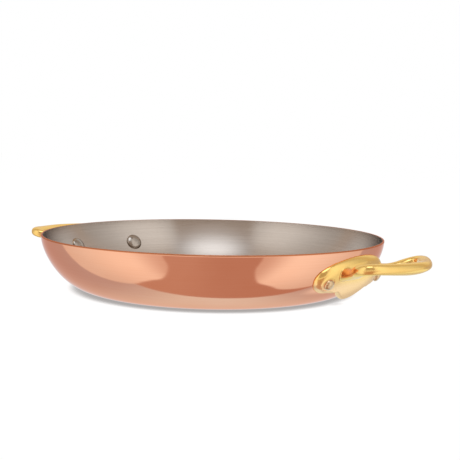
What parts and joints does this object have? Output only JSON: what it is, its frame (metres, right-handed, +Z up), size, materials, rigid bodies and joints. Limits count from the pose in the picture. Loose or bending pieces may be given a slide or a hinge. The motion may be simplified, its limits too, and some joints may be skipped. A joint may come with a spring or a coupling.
{
  "type": "round two-handled pan",
  "caption": "Shallow round copper pan with curved sides, a steel lining, and cast brass loop handles riveted through the wall.",
  "frame": {"origin": "centre of the flat base, on the surface the pan stands on", "axes": "+X towards the right handle, -X towards the left handle, +Z up out of the pan, -Y to the front"},
  "size_m": [0.3536, 0.26, 0.0406],
  "materials": {
    "copper": "polished copper",
    "lining": "brushed around the pan",
    "handles": "polished cast brass",
    "rivets": "polished"
  },
  "bodies": {
    "root": {"copper_shell": "copper", "steel_lining": "lining", "handle_right": "handles", "handle_left": "handles", "rivet_right_front": "rivets", "rivet_right_rear": "rivets", "rivet_left_front": "rivets", "rivet_left_rear": "rivets"}
  },
  "joints": []
}
